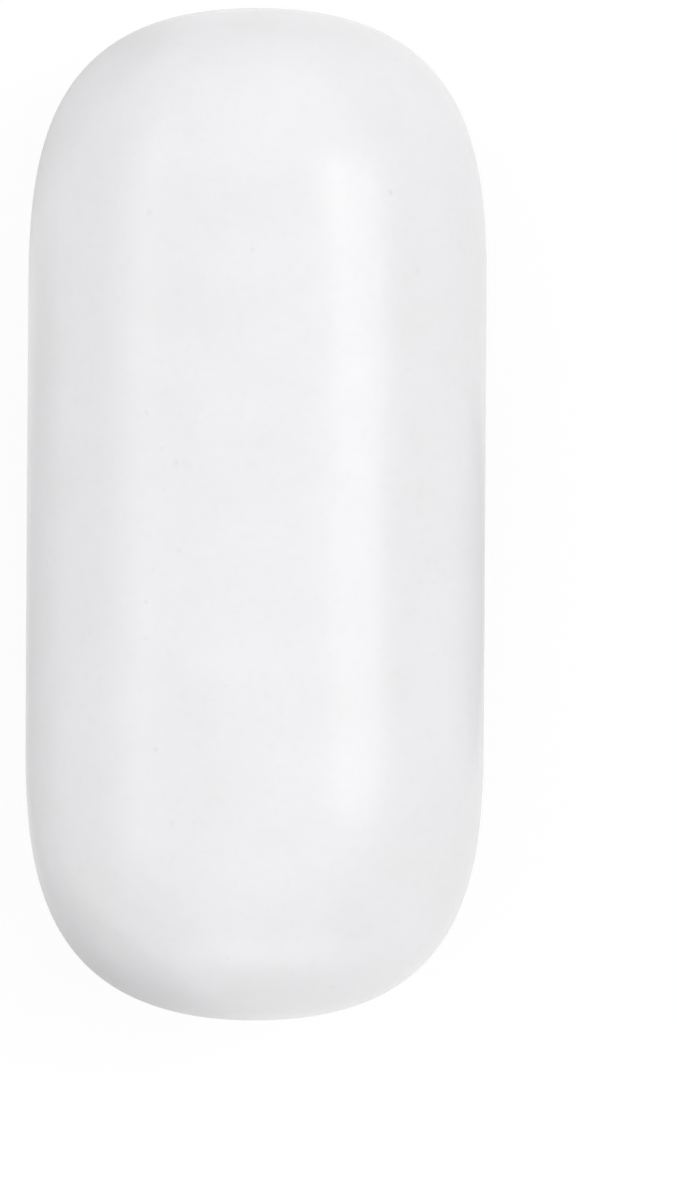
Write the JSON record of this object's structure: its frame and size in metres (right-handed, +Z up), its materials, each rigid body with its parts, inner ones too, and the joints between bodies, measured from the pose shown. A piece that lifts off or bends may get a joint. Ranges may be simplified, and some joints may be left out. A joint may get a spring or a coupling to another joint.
{
  "type": "magnetic stir bar",
  "caption": "Small white PTFE-coated bar magnet with a round barrel and domed ends, spun by a magnetic stirrer to mix a liquid.",
  "frame": {"origin": "middle of the bar, on its axis", "axes": "+Y along the bar, +Z up as it lies on its side, +X across it"},
  "size_m": [0.0032, 0.007, 0.0032],
  "materials": {
    "ptfe": "smooth white moulded PTFE, waxy satin sheen",
    "magnet": "ground alnico, fine lengthwise grinding lines"
  },
  "bodies": {
    "root": {"ptfe_jacket": "ptfe", "bar_magnet": "magnet"}
  },
  "joints": []
}
